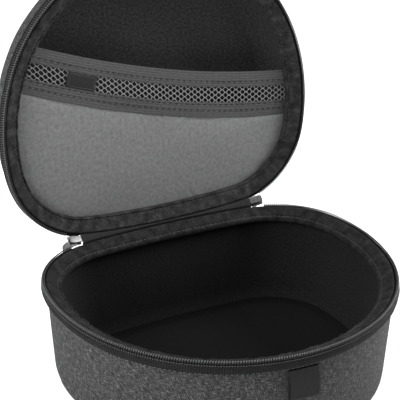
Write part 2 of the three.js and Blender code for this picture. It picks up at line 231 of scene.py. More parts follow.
def spots(run):
    """Places and outward normals at signed distances along the outline, positive on the +X side."""
    run = (np.asarray(run, float) + HALF) % (2 * HALF) - HALF
    side = np.where(run < 0, -1.0, 1.0)
    walk = np.abs(run)
    index = np.clip(np.searchsorted(ARCS[:, 4], walk, side="right") - 1, 0, 3)
    radius, start, centre_x, centre_y, walked = np.moveaxis(ARCS[index], -1, 0)
    angle = start + (walk - walked) / radius
    nx = np.sin(angle)
    ny = np.cos(angle)
    return side * (centre_x + radius * nx), centre_y + radius * ny, side * nx, ny


def place(x, y, depth, half):
    """Points of the shut case put in the base, or in the lid as it stands open."""
    x, y, depth = np.broadcast_arrays(x, y, depth)
    if half == "base":
        return np.stack([x, y, PARTING - depth], -1)
    away = y - HINGE_Y
    turned_y = HINGE_Y + away * math.cos(LID_OPEN) + depth * math.sin(LID_OPEN)
    turned_z = PARTING - away * math.sin(LID_OPEN) + depth * math.cos(LID_OPEN)
    return np.stack([x, turned_y, turned_z], -1)


def carry(run, inset, depth, half):
    """A grid of points: rows follow the outline, columns follow a section of insets and depths."""
    x, y, nx, ny = (value[:, None] for value in spots(run))
    return place(x - nx * inset, y - ny * inset, depth, half)


def inward(run, inset):
    """Plan points at distances along the outline, set in from it."""
    x, y, nx, ny = spots(run)
    return np.stack([x - nx * inset, y - ny * inset], -1)


def trace(run, inset, depth, half):
    """A line of points along the outline at one inset and one depth."""
    return carry(run, np.array([inset]), np.array([depth]), half)[:, 0]


def along(start, end, step, closed=False):
    """Evenly spaced distances, near a step apart; a closed run leaves out its end."""
    count = max(2, round((end - start) / step))
    return np.linspace(start, end, count + 1 - int(closed), endpoint=not closed)


def lengths(line):
    """Distance walked along a line of points."""
    steps = np.linalg.norm(np.diff(line, axis=0), axis=1)
    return np.concatenate([[0], np.cumsum(steps)])


def smooth_line(points, count):
    """A section through a few [inset, depth] points in millimetres, rounded by a Catmull-Rom curve."""
    knots = np.array(points, float) * MM
    padded = np.vstack([2 * knots[0] - knots[1], knots, 2 * knots[-1] - knots[-2]])
    line = []
    for t in np.linspace(0, len(knots) - 1, count):
        k = min(int(t), len(knots) - 2)
        f = t - k
        a, b, c, d = padded[k:k + 4]
        line.append(0.5 * (2 * b + (c - a) * f + (2 * a - 5 * b + 4 * c - d) * f ** 2
                           + (3 * b - a - 3 * c + d) * f ** 3))
    return np.array(line)


def ripple(x, y, z, wavelength, seed):
    """Smooth, repeatable unevenness between about -1 and 1."""
    draw = np.random.default_rng(seed)
    total = 0.0
    for _ in range(6):
        way = draw.normal(size=3)
        way *= 2 * math.pi / (wavelength * draw.uniform(0.7, 1.5) * np.linalg.norm(way))
        total = total + np.sin(x * way[0] + y * way[1] + z * way[2] + draw.uniform(0, 2 * math.pi))
    return total / 3


# ---------------------------------------------------------------- mesh building

class Build:
    """Gathers grids, fans and tubes into one mesh, with texture coordinates in metres of cloth."""

    def __init__(self):
        self.points = []
        self.faces = []
        self.uvs = []
        self.count = 0

    def add(self, points, faces, uvs):
        self.points.append(points)
        self.faces.extend((np.asarray(faces) + self.count).tolist())
        self.uvs.append(np.asarray(uvs, float).reshape(-1, 2))
        self.count += len(points)

    def grid(self, points, u, v, wrap_rows=False, wrap_across=False):
        """Quads over rows of points; u and v have one more row or column where the grid wraps round."""
        rows, across = points.shape[:2]
        counts = (rows - (not wrap_rows), across - (not wrap_across))
        i, j = np.meshgrid(np.arange(counts[0]), np.arange(counts[1]), indexing="ij")
        corners = ((i, j), (i, j + 1), (i + 1, j + 1), (i + 1, j))
        faces = np.stack([(a % rows) * across + b % across for a, b in corners], -1).reshape(-1, 4)
        u, v = np.broadcast_arrays(u, v)
        uvs = np.stack([np.stack([u[a, b], v[a, b]], -1) for a, b in corners], -2)
        self.add(points.reshape(-1, 3), faces, uvs)

    def polygon(self, ring, uv=None):
        """One flat face."""
        uv = ring[:, :2] if uv is None else uv
        self.add(ring, [list(range(len(ring)))], uv)

    def disc(self, edge, centre, depth_at, half, rings):
        """A filled region inside a closed edge, in rings towards a centre, with flat texture coordinates."""
        shares = np.linspace(1, 0, rings + 1)[:-1, None, None]
        closed = np.vstack([edge, edge[:1]])
        flat = centre + shares * (closed - centre)
        x = flat[..., 0]
        y = flat[..., 1]
        points = place(x, y, depth_at(x, y), half)
        self.grid(points[:, :-1], x, y, wrap_across=True)
        inner = flat[-1]
        middle = place(centre[0], centre[1], depth_at(centre[0], centre[1]), half)
        count = len(edge)
        faces = [[0, 1 + k, 1 + (k + 1) % count] for k in range(count)]
        uvs = [[centre, inner[k], inner[k + 1]] for k in range(count)]
        self.add(np.vstack([middle, points[-1, :-1]]), faces, uvs)

    def slab(self, front, back, u, v, wrap_rows=False):
        """A closed piece of cloth between a front and a back grid."""
        self.grid(front, u, v, wrap_rows)
        self.grid(back, u, v, wrap_rows)
        u, v = np.broadcast_arrays(u, v)
        for k in (0, -1):
            rim = np.stack([front[:, k], back[:, k]], 1)
            self.grid(rim, u[:, [k, k]], v[:, [k, k]], wrap_rows)
            if not wrap_rows:
                end = np.stack([front[k], back[k]])
                self.grid(end, u[[k, k]], v[[k, k]])

    def tube(self, path, across, up, wide, tall, sides, marks=None):
        """A tube along a path; wide is its radius along across, tall along up, and marks replace u."""
        count = len(path)
        turn = np.linspace(0, 2 * math.pi, sides + 1)
        wide = np.broadcast_to(wide, count)[:, None]
        tall = np.broadcast_to(tall, count)[:, None]
        ring = (across[:, None] * (wide * np.cos(turn[:-1]))[..., None]
                + up[:, None] * (tall * np.sin(turn[:-1]))[..., None])
        points = path[:, None] + ring
        walked = lengths(path) if marks is None else marks
        self.grid(points, walked[:, None], turn[None] * float(np.mean(wide)), wrap_across=True)
        self.polygon(points[0], np.zeros((sides, 2)))
        self.polygon(points[-1], np.zeros((sides, 2)))

    def make(self, name, finish, slot, body=None, stands_for=(), matrix=None):
        """The finished piece; a matrix moves it from its own axes to its place first."""
        mesh = bpy.data.meshes.new(name)
        mesh.from_pydata(np.vstack(self.points).tolist(), [], self.faces)
        layer = mesh.uv_layers.new(name="cloth")
        layer.data.foreach_set("uv", np.vstack(self.uvs).astype(np.float32).ravel())
        work = bmesh.new()
        work.from_mesh(mesh)
        bmesh.ops.remove_doubles(work, verts=work.verts, dist=WELD)
        bmesh.ops.recalc_face_normals(work, faces=work.faces)
        work.to_mesh(mesh)
        work.free()
        mesh.polygons.foreach_set("use_smooth", [True] * len(mesh.polygons))
        mesh.set_sharp_from_angle(angle=SHARP_ANGLE)
        mesh.materials.append(finish)
        if matrix is not None:
            mesh.transform(matrix)
        piece = bpy.data.objects.new(name, mesh)
        bpy.context.scene.collection.objects.link(piece)
        if body:
            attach(piece, body)
        if stands_for:
            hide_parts(*stands_for)
        return piece


def unit(vectors):
    """The same directions, each one long."""
    return vectors / np.linalg.norm(vectors, axis=-1, keepdims=True)


def bump(value, centre, width):
    """A smooth rise to 1 at a centre."""
    return np.exp(-((value - centre) / width) ** 2)


def stitches(build, path, outward, pitch, length, radius):
    """A row of separate stitches over a path, each rising out of the cloth and back into it."""
    walked = lengths(path)
    count = int(walked[-1] / pitch)
    shape = np.linspace(-0.5, 0.5, 6)
    for k in range(count):
        spot = (k + 0.5) * pitch + shape * length
        line = np.stack([np.interp(spot, walked, path[:, c]) for c in range(3)], -1)
        out = unit(np.stack([np.interp(spot, walked, outward[:, c]) for c in range(3)], -1))
        lift = (np.cos(shape * 2 * math.pi) * 0.9 + 0.1)[:, None] * radius
        way = unit(np.gradient(line, axis=0))
        swell = radius * (0.55 + 0.45 * np.cos(shape * 2.6))
        build.tube(line + out * lift, np.cross(way, out), out, swell, swell * 0.8, sides=6)


# ---------------------------------------------------------------- finishes

def add_node(tree, kind, inputs, output=0, **settings):
    """Adds a node with its inputs linked or set, and gives one of its outputs."""
    made = tree.nodes.new(kind)
    for key, value in settings.items():
        setattr(made, key, value)
    for key, value in inputs.items():
        if isinstance(value, bpy.types.NodeSocket):
            tree.links.new(value, made.inputs[key])
        else:
            made.inputs[key].default_value = value
    return made.outputs[output]


class Finish:
    """A node material in the making. Its pattern methods take and give node sockets."""

    def __init__(self, name, roughness, metallic=0.0, specular=0.5, sheen=0.0):
        self.material = bpy.data.materials.new(name)
        self.material.use_nodes = True
        self.tree = self.material.node_tree
        self.shader = self.tree.nodes["Principled BSDF"]
        levels = {"Roughness": roughness, "Metallic": metallic, "Specular IOR Level": specular,
                  "Sheen Weight": sheen, "Sheen Roughness": 0.5}
        for key, value in levels.items():
            self.shader.inputs[key].default_value = value
        self.cloth = self.tree.nodes.new("ShaderNodeTexCoord").outputs["UV"]
        self.space = self.cloth.node.outputs["Object"]

    def node(self, kind, inputs, output=0, **settings):
        """Adds a node to this material."""
        return add_node(self.tree, kind, inputs, output, **settings)

    def math(self, operation, a, b=0.0):
        """One arithmetic step; a sine ignores b."""
        return self.node("ShaderNodeMath", {0: a, 1: b}, operation=operation)

    def noise(self, vector, scale, detail):
        """Noise with its own number of features per metre along each axis."""
        scaled = self.node("ShaderNodeMapping", {"Vector": vector, "Scale": scale})
        return self.node("ShaderNodeTexNoise", {"Vector": scaled, "Scale": 1.0, "Detail": detail})

    def grain(self, per_u, per_v, detail=2.0):
        """Noise over the cloth, with a number of features per metre each way."""
        return self.noise(self.cloth, (per_u, per_v, 1), detail)

    def lumps(self, count, detail=2.0):
        """Noise through space, with a number of features per metre."""
        return self.noise(self.space, (count, count, count), detail)

    def spread(self, value, low, high):
        """Stretches a span of a value to run from 0 to 1."""
        return self.node("ShaderNodeMapRange", {"Value": value, "From Min": low, "From Max": high})

    def wave(self, axis, pitch, vector=None):
        """A sine between 0 and 1 that repeats every pitch along one axis of the cloth, or of a vector."""
        part = self.node("ShaderNodeSeparateXYZ", {0: self.cloth if vector is None else vector}, axis)
        turned = self.math("MULTIPLY", part, 2 * math.pi / pitch)
        return self.math("MULTIPLY_ADD", self.math("SINE", turned), 0.5)

    def twill(self, pitch, degrees):
        """A wave whose rows lean across the cloth."""
        turn = (0, 0, math.radians(degrees))
        return self.wave(0, pitch, self.node("ShaderNodeMapping", {"Vector": self.cloth, "Rotation": turn}))

    def weave(self, pitch_u, pitch_v):
        """Plain weave: threads that pass over and under each other."""
        a = self.math("SUBTRACT", self.wave(0, pitch_u), 0.5)
        b = self.math("SUBTRACT", self.wave(1, pitch_v), 0.5)
        return self.math("ADD", self.math("MULTIPLY", self.math("MULTIPLY", a, b), 2.0), 0.5)

    def mean(self, a, b, share=0.5):
        """A blend of two values, with b's share given."""
        weighed = self.math("MULTIPLY", b, share)
        return self.math("ADD", self.math("MULTIPLY", a, 1 - share), weighed)

    def tones(self, value, *stops):
        """Grey levels along a value, as (place, level) stops, each grey a touch cool."""
        ramp = self.tree.nodes.new("ShaderNodeValToRGB")
        self.tree.links.new(value, ramp.inputs[0])
        marks = ramp.color_ramp.elements
        while len(marks) < len(stops):
            marks.new(0.5)
        for mark, (spot, level) in zip(marks, stops):
            mark.position = spot
            mark.color = (level, level * 1.005, level * 1.015, 1)
        self.tree.links.new(ramp.outputs[0], self.shader.inputs["Base Color"])

    def relief(self, height, distance, strength=1.0):
        """Fine relief in the surface, as a height times a distance."""
        normal = self.node("ShaderNodeBump", {"Height": height, "Distance": distance, "Strength": strength})
        self.tree.links.new(normal, self.shader.inputs["Normal"])

    def rough(self, value, low, high):
        """Roughness that follows a value."""
        mapped = self.node("ShaderNodeMapRange", {"Value": value, "To Min": low, "To Max": high})
        self.tree.links.new(mapped, self.shader.inputs["Roughness"])


def canvas_finish():
    """Two-tone canvas: pale and dark yarns run both ways, in short streaks."""
    made = Finish("melange_canvas", 0.95, specular=0.2)
    drift = made.grain(40, 40)
    weft = made.spread(made.grain(260, 1900, 3), 0.38, 0.64)
    warp = made.spread(made.grain(1900, 240, 3), 0.38, 0.64)
    yarns = made.mean(made.math("MAXIMUM", weft, warp), made.math("MINIMUM", weft, warp), 0.5)
    value = made.mean(yarns, drift, 0.1)
    made.tones(value, (0.1, 0.006), (0.45, 0.021), (0.75, 0.056), (1.0, 0.15))
    made.relief(made.mean(made.weave(1.0 * MM, 1.0 * MM), yarns), 0.22 * MM)
    return made.material


def fleece_finish(name, level):
    """Short nap, brushed a little unevenly."""
    made = Finish(name, 1.0, specular=0.1, sheen=0.02)
    brushed = made.grain(520, 620, 4)
    fibre = made.grain(2200, 2200, 2)
    value = made.mean(brushed, fibre, 0.3)
    made.tones(value, (0.36, level * 0.5), (0.64, level * 1.6))
    made.relief(value, 0.3 * MM, 0.8)
    return made.material


def grosgrain_finish(name, level):
    """Woven binding with fine ribs across and a cloudy tone."""
    made = Finish(name, 0.9, specular=0.1)
    ribs = made.wave(1, 0.9 * MM)
    yarn = made.grain(900, 1100, 3)
    cloud = made.grain(170, 130, 3)
    value = made.mean(made.mean(yarn, cloud), ribs, 0.15)
    made.tones(value, (0.36, level * 0.3), (0.5, level), (0.66, level * 4.4))
    made.relief(made.mean(made.weave(0.8 * MM, 0.9 * MM), yarn), 0.2 * MM)
    return made.material


def tape_finish():
    """Zip tape: a fine twill with a rib at every tooth."""
    made = Finish("zip_tape_twill", 0.85, specular=0.1)
    twill = made.twill(1.05 * MM, 32)
    ribs = made.wave(0, TOOTH_PITCH)
    grain = made.grain(1500, 600, 3)
    cloud = made.grain(80, 160, 2)
    value = made.mean(made.mean(grain, twill, 0.4), made.mean(ribs, cloud), 0.4)
    made.tones(value, (0.25, 0.0012), (0.5, 0.0038), (0.75, 0.018))
    made.relief(made.mean(twill, ribs), 0.16 * MM)
    return made.material


def webbing_finish(name, level):
    """Webbing with a slanted twill."""
    made = Finish(name, 0.8, specular=0.1)
    twill = made.twill(0.95 * MM, 50)
    grain = made.grain(1400, 500, 3)
    value = made.mean(twill, grain, 0.6)
    made.tones(value, (0.2, level * 0.6), (0.85, level * 1.5))
    made.relief(made.mean(twill, made.weave(1.1 * MM, 1.1 * MM)), 0.22 * MM)
    return made.material


def jersey_finish():
    """Grey jersey: fine knit columns, with a soft mottle."""
    made = Finish("pocket_jersey", 0.95, specular=0.2, sheen=0.05)
    columns = made.wave(0, 0.75 * MM)
    courses = made.wave(1, 0.6 * MM)
    mottle = made.grain(420, 340, 4)
    yarn = made.grain(1700, 1200, 2)
    value = made.mean(made.mean(mottle, yarn, 0.5), columns, 0.2)
    made.tones(value, (0.25, 0.062), (0.75, 0.188))
    made.relief(made.mean(made.mean(columns, courses), yarn), 0.14 * MM)
    return made.material


def elastic_finish():
    """Elastic braid: ribs along its length, with rubber threads between."""
    made = Finish("elastic_braid", 0.85, specular=0.25)
    ribs = made.wave(1, BAND_RIB)
    braid = made.weave(1.1 * MM, 0.95 * MM)
    yarn = made.grain(480, 1500, 3)
    value = made.mean(made.mean(yarn, braid, 0.3), ribs, 0.22)
    made.tones(value, (0.25, 0.024), (0.5, 0.048), (0.75, 0.09))
    made.relief(made.mean(braid, ribs, 0.3), 0.2 * MM)
    return made.material


def thread_finish(name, level, roughness=0.8):
    """Twisted thread."""
    made = Finish(name, roughness)
    plies = made.lumps(2400, 2)
    made.tones(plies, (0.25, level * 0.7), (0.75, level * 1.25))
    made.relief(plies, 0.1 * MM)
    return made.material


def nylon_finish():
    """Moulded nylon teeth: black and smooth, with a painted highlight on their outer bends."""
    made = Finish("nylon_teeth", 0.3, specular=0.22)
    painted_highlight = made.wave(0, TOOTH_PITCH)
    dust = made.lumps(700, 2)
    value = made.mean(painted_highlight, dust, 0.1)
    # The pale top of this ramp is a painted highlight on each tooth's outer bend.
    made.tones(value, (0.0, 0.003), (0.86, 0.006), (0.96, 0.055))
    made.rough(dust, 0.25, 0.5)
    made.relief(made.lumps(1800, 2), 0.03 * MM)
    return made.material


def label_finish():
    """Satin label cloth with fine rows."""
    made = Finish("label_satin", 0.6, specular=0.2)
    rows = made.wave(1, 0.45 * MM)
    yarn = made.grain(300, 2400, 2)
    made.tones(made.mean(yarn, rows, 0.4), (0.2, 0.0045), (0.85, 0.013))
    made.relief(rows, 0.06 * MM)
    return made.material


def metal_finish():
    """Plated zinc casting: bright, with faint pits and worn places."""
    made = Finish("plated_zinc", 0.3, metallic=1.0)
    worn = made.lumps(420, 4)
    pits = made.lumps(2600, 2)
    made.tones(made.mean(worn, pits, 0.3), (0.3, 0.05), (0.7, 0.16))
    made.rough(worn, 0.34, 0.6)
    made.relief(made.mean(worn, pits), 0.05 * MM)
    return made.material


def floor_finish():
    """Pale matt paper."""
    made = Finish("floor_paper", 0.95, specular=0.1)
    grain = made.lumps(60, 3)
    made.tones(grain, (0.3, 0.9), (0.7, 0.92))
    return made.material


CANVAS = canvas_finish()
# Three copies of one fleece at different levels: painted shade on the base's walls, darker painted shade on
# its floor, painted light in the lid.
FLEECE = fleece_finish("base_fleece_painted_shade", 0.0055)
FLOOR_FLEECE_PAINTED_SHADE = fleece_finish("base_floor_fleece", 0.0016)
LID_FLEECE_PAINTED_LIGHT = fleece_finish("lid_fleece_painted_light", 0.022)
# Two copies of one binding weave at different levels: painted shade on the base's binding, painted light on
# the lid's.
BINDING = grosgrain_finish("base_binding_weave_painted_shade", 0.0062)
LID_BINDING_PAINTED_LIGHT = grosgrain_finish("lid_binding_weave_painted_light", 0.0115)
TAPE = tape_finish()
WEBBING = webbing_finish("loop_webbing", 0.011)
HINGE_CLOTH = webbing_finish("hinge_cloth", 0.012)
JERSEY = jersey_finish()
ELASTIC = elastic_finish()
NET_THREAD = thread_finish("net_thread", 0.145, 0.55)
DARK_THREAD = thread_finish("dark_thread", 0.006)
GREY_THREAD = thread_finish("grey_thread", 0.06)
BINDING_THREAD = thread_finish("binding_thread", 0.026)
NYLON = nylon_finish()
LABEL = label_finish()
METAL = metal_finish()


# ---------------------------------------------------------------- the two halves

HALVES = {"base": (PARTING, BASE_FILLET), "lid": (LID_DEPTH, LID_FILLET)}


def wall_line(half, offset, top, first, last, step=LINING_STEP):
    """Insets and depths down a wall and round its fillet, from one fillet angle to another."""
    depth, fillet = HALVES[half]
    centre = SHELL_INSET + SHELL_DRAFT * (depth - fillet) + fillet
    radius = fillet - offset
    line = []
    if top is not None:
        start = np.array([SHELL_INSET + SHELL_DRAFT * top + offset, top])
        end = np.array([centre - radius, depth - fillet])
        count = max(1, round((depth - fillet - top) / step))
        line = [start + (end - start) * k / count for k in range(count)]
    count = max(3, round(fillet * math.radians(last - first) / step))
    for angle in np.radians(np.linspace(first, last, count)):
        line.append([centre - radius * math.cos(angle), depth - fillet + radius * math.sin(angle)])
    return np.array(line)


def skew(run, walked):
    """Texture coordinates round a wall: the cloth's grain leans as the wall turns its corners."""
    _, _, nx, ny = spots(run)
    lean = 2 * nx * ny * GRAIN_LEAN
    return run[:, None] + lean[:, None] * walked[None]


def all_round(step):
    """Distances right round the outline, open for points and closed for texture coordinates."""
    run = along(-HALF, HALF, step, closed=True)
    return run, np.append(run, HALF - 1e-9)


def cloth_wall(build, half, line, uneven):
    """A wall's surface, slightly uneven, and the ring of points at its far end."""
    run, closed = all_round(SHELL_STEP)
    inset = line[:, 0] + np.zeros((len(run), 1))
    depth = line[:, 1] + np.zeros((len(run), 1))
    flat = carry(run, inset, depth, "base")
    wobble = ripple(*np.moveaxis(flat, -1, 0), 34 * MM, seed=3)
    held_by_tape = 8 * MM
    inset = inset + uneven * wobble * np.minimum(1, lengths(line) / held_by_tape)
    points = carry(run, inset, depth, half)
    walked = lengths(line)
    build.grid(points, skew(closed, walked), walked[None], wrap_rows=True)
    return points, inward(run, inset[:, -1])


def shell(half):
    """The moulded shell with its canvas skin, hollow inside."""
    build = Build()
    outer = wall_line(half, 0, SHELL_TOP, 0, 90)
    inner = wall_line(half, SHELL_THICK, SHELL_TOP, 0, 90)
    outside, outer_edge = cloth_wall(build, half, outer, SHELL_DENT)
    inside, inner_edge = cloth_wall(build, half, inner, 0)
    _, closed = all_round(SHELL_STEP)
    rim = np.stack([outside[:, 0], inside[:, 0]], 1)
    build.grid(rim, closed[:, None], np.array([[0, SHELL_THICK]]), wrap_rows=True)
    for edge, line in ((outer_edge, outer), (inner_edge, inner)):
        build.disc(edge, np.zeros(2), lambda x, y: line[-1, 1] + 0 * x, half, SHELL_RINGS)
    build.make(f"{half}_canvas_shell", CANVAS, "shell_fabric", half, [f"{half}_shell"])


def wall_lining(half, finish):
    """Lining of the wall, from under the binding to the crease."""
    build = Build()
    behind = wall_line(half, LINING_OFFSET, LINING_TOP, 0, LINING_SPLIT - LINING_GAP)
    front = wall_line(half, LINING_OFFSET + LINING_THICK, LINING_TOP, 0, LINING_SPLIT - LINING_GAP)
    run, closed = all_round(LINING_STEP)
    walked = lengths(front)
    x, y, z = np.moveaxis(carry(run, *front.T, "base"), -1, 0)
    wobble = ripple(x, y, z * 0.6, 30 * MM, seed=11)
    puff = LINING_PUFF * wobble * np.sin(np.linspace(0, math.pi, len(front)))
    shown = carry(run, front[:, 0] + puff, front[:, 1], half)
    hidden = carry(run, *behind.T, half)
    build.slab(shown, hidden, closed[:, None], walked[None], wrap_rows=True)
    build.make(f"{half}_wall_fleece", finish, "lining", half, [f"{half}_wall_lining"])


def floor_lining(half, finish, node):
    """Lining of the floor or ceiling: it turns up at its edge to meet the wall's lining in a crease."""
    build = Build()
    start = LINING_SPLIT + LINING_GAP
    behind = wall_line(half, LINING_OFFSET, None, start, 90, LINING_STEP / 2)
    front = wall_line(half, LINING_OFFSET + LINING_THICK, None, start, 90, LINING_STEP / 2)
    pillow = (110 * MM, 95 * MM)
    pillow_rise = 0.5 * MM
    run, closed = all_round(LINING_STEP)
    edges = []
    for line in (front, behind):
        walked = lengths(line)
        points = carry(run, *line.T, half)
        build.grid(points, closed[:, None], walked[None], wrap_rows=True)
        edges.append(points[:, 0])
        inset, level = line[-1]

        def depth_at(px, py):
            inside = np.clip(1 - (px / pillow[0]) ** 2 - (py / pillow[1]) ** 2, 0, 1)
            return level - pillow_rise * inside * (1 + ripple(px, py, 0 * px, 60 * MM, seed=5))

        build.disc(inward(run, inset), np.zeros(2), depth_at, half, LINING_RINGS)
    build.grid(np.stack(edges, 1), closed[:, None], np.array([[0, LINING_THICK]]), wrap_rows=True)
    build.make(f"{half}_{node}_fleece", finish, "lining", half, [f"{half}_{node}_lining"])


def binding(half, finish):
    """Padded binding: a slope over the shell's edge, a sewn groove, then a piped hem inside."""
    build = Build()
    section = smooth_line(BINDING_SECTION, BINDING_ROWS)
    run, closed = all_round(BINDING_STEP)
    walked = lengths(section)
    share = walked / walked[-1]
    slope = bump(share, 0.26, 0.14)
    hem = bump(share, 0.56, 0.1)
    x, y, z = np.moveaxis(carry(run, *section.T, "base"), -1, 0)
    seed = 21 if half == "base" else 22
    strength = 0.65 + 0.35 * ripple(x, y, 0 * z, 70 * MM, seed)
    pucker = ripple(x, y, z * 0.25, 7.5 * MM, seed + 2)
    gather = ripple(x, y, z * 0.3, 3.6 * MM, seed + 4)
    lift = MM * strength * (0.34 * pucker * slope + (0.28 * pucker + 0.5 * gather) * hem)
    front = carry(run, section[:, 0] + lift * 0.6, section[:, 1] - lift * 0.8, half)
    bottom = section[-1, 1]
    thinnest = 0.05 * MM
    back_inset = np.interp(share, [0, 0.3, 1], [section[0, 0], BINDING_BACK, BINDING_BACK])
    back_depth = np.interp(share, [0, 0.3, 1], [3.1 * MM, 3.1 * MM, bottom + thinnest])
    back_depth = np.maximum(back_depth, section[:, 1] + thinnest)
    back_inset = np.minimum(back_inset, section[:, 0])
    back = carry(run, back_inset, back_depth, half)
    build.slab(front, back, closed[:, None], walked[None], wrap_rows=True)
    piece = build.make(f"{half}_padded_binding", finish, "binding", half, [f"{half}_binding"])

    seam = Build()
    path = trace(closed, *GROOVE, half)
    raised = trace(closed, GROOVE[0] + 0.55 * MM, GROOVE[1] - 0.83 * MM, half)
    stitches(seam, path, unit(raised - path), STITCH_PITCH, length=2.5 * MM, radius=0.26 * MM)
    seam.make(f"{half}_binding_seam", BINDING_THREAD, "binding", half)


def zip_span(degrees, step):
    """Distances round the front between the two ends of the tape or the coil."""
    start = run_at(degrees)
    return along(start, 2 * HALF - start, step)


def zip_tape(half):
    """The tape bulges out past the shell, is sewn down below, and carries the coil's sewing above."""
    build = Build()
    section = smooth_line(TAPE_SECTION, TAPE_ROWS)
    run = zip_span(TAPE_START, TAPE_STEP)
    walked = lengths(section)
    share = walked / walked[-1]
    x, y, z = np.moveaxis(carry(run, *section.T, "base"), -1, 0)
    bulge = np.sin(share * math.pi)
    sag = 0.12 * ripple(x, y, z, 26 * MM, seed=31)
    pleats = 0.08 * ripple(x, y, 0.3 * z, 6 * MM, seed=32)
    lift = MM * bulge * (sag + pleats)
    ends = np.minimum(1, np.minimum(run - run[0], run[-1] - run) / TAPE_TAPER)[:, None]
    lift = lift - (1 - ends) * bulge * 0.9 * MM
    front = carry(run, section[:, 0] - lift, section[:, 1], half)
    back_depth = np.clip(section[:, 1], 3.1 * MM, 10.5 * MM)
    back = carry(run, SHELL_INSET + SHELL_DRAFT * back_depth - TAPE_CLEAR, back_depth, half)
    build.slab(front, back, run[:, None], walked[None])
    build.make(f"{half}_tape", TAPE, "zip_tape", half, [f"{half}_zip_tape"])

    seam = Build()
    for sizes in TAPE_SEAMS:
        inset, depth, pitch, length, radius = (size * MM for size in sizes)
        path = trace(run, inset, depth, half)
        raised = trace(run, inset - 1 * MM, depth, half)
        stitches(seam, path, unit(raised - path), pitch, length, radius)
    seam.make(f"{half}_tape_seams", GREY_THREAD, "zip_tape", half)


def zip_coil(half):
    """One filament wound into a tooth at every turn, with flattened heads."""
    build = Build()
    span = zip_span(COIL_START, TOOTH_PITCH)
    turns = len(span) - 1
    per_turn = 14
    t = np.linspace(0, turns, turns * per_turn + 1)
    angle = 2 * math.pi * t
    squareness = 0.9
    lean = 0.12
    advance = t + squareness / (2 * math.pi) * np.cos(angle)
    run = span[0] + (span[-1] - span[0]) * np.clip(advance / turns, 0, 1)
    inset = COIL_INSET + COIL_WIDE * np.cos(angle) * (1 - lean * np.sin(angle))
    depth = COIL_DEPTH - COIL_TALL * np.sin(angle)
    x, y, nx, ny = spots(run)
    path = place(x - nx * inset, y - ny * inset, depth, half)
    ahead = spots(run + 0.1 * MM)
    along_way = place(ahead[0] - nx * inset, ahead[1] - ny * inset, depth, half) - path
    way = unit(np.gradient(path, axis=0))
    across = unit(np.cross(way, along_way))
    up = np.cross(way, across)
    head = np.clip(np.sin(angle), 0, 1) ** 2
    thick = (0.26 + 0.1 * head) * MM
    broad = (0.42 + 0.14 * head) * MM
    # Shifts the teeth's painted highlight along each turn onto its outer bend.
    painted_highlight_bend = 0.12
    build.tube(path, across, up, thick, broad, sides=8, marks=(t - painted_highlight_bend) * TOOTH_PITCH)
    build.make(f"{half}_teeth", NYLON, "zip_coil", half, [f"{half}_zip_coil"])

    core = Build()
    centre = trace(zip_span(COIL_START, CORE_STEP), CORE_INSET, CORE_DEPTH, half)
    way = unit(np.gradient(centre, axis=0))
    never_along = np.array([0.3, 0.4, 0.86])
    up = unit(np.cross(way, never_along))
    core.tube(centre, np.cross(way, up), up, CORE_RADIUS, CORE_RADIUS, sides=8)
    core.make(f"{half}_coil_cord", DARK_THREAD, "zip_coil", half)


# ---------------------------------------------------------------- hinge

def hinge_web():
    """The cloth hinge: down the base's back, over the crease between the rims, and down the lid's back."""
    build = Build()
    run = along(run_at(-WEB_END), run_at(WEB_END), WEB_STEP)
    leg = inward(run, WEB_STAND_OFF).T
    depths = np.linspace(WEB_LEG, 1.2 * MM, 9)
    columns = [place(*leg, depth, "base") for depth in depths]
    rim_depth = 0.4 * MM
    rim_x, rim_y = inward(run, WEB_RIM).T
    reach_y = rim_y - HINGE_Y
    for share in np.linspace(0, 1, 11):
        turn = LID_OPEN * share
        pull = 1 - 0.22 * math.sin(math.pi * share)
        reach_z = (2 * share - 1) * rim_depth
        ry = reach_y * math.cos(turn) + reach_z * math.sin(turn)
        rz = -reach_y * math.sin(turn) + reach_z * math.cos(turn)
        columns.append(np.stack([rim_x, HINGE_Y + pull * ry, PARTING + pull * rz], -1))
    columns += [place(*leg, depth, "lid") for depth in depths[::-1]]
    middle = np.stack(columns, 1)
    out = unit(np.cross(np.gradient(middle, axis=1), np.gradient(middle, axis=0)))
    walked = lengths(middle[len(run) // 2])
    creases = ripple(*np.moveaxis(middle, -1, 0), 9 * MM, seed=41)[..., None]
    middle = middle + out * creases * 0.12 * MM
    build.slab(middle + out * WEB_HALF_THICK, middle - out * WEB_HALF_THICK, run[:, None], walked[None])
    piece = build.make("hinge_web", HINGE_CLOTH, "webbing", None, ["hinge_strip"])
    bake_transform(piece)


# ---------------------------------------------------------------- lid pocket

def pocket_edge(x):
    """The pocket's mouth in plan: a slanted line with a slight bow."""
    return POCKET_TOP + POCKET_SLOPE * x + POCKET_BOW * x * x


def pocket_ends(behind):
    """Where a line at a distance behind the pocket's top edge meets the lid's side, left and right."""
    found = []
    for side in (-1, 1):
        low = 0.0
        high = HALF * 0.999
        for _ in range(40):
            run = (low + high) / 2
            x, y = inward(side * run, POCKET_INSET)
            past = y - pocket_edge(x) - behind
            low, high = (run, high) if past > 0 else (low, run)
        found.append(side * low)
    return found


def band_grid(near, far, rows):
    """Plan points of a band between two distances behind the pocket's top edge, end to end."""
    grid = []
    for behind in np.linspace(near, far, rows):
        ends = [inward(run, POCKET_INSET)[0] for run in pocket_ends(behind)]
        x = np.linspace(*ends, BAND_COUNT)
        grid.append(np.stack([x, pocket_edge(x) + behind], -1))
    return np.array(grid)


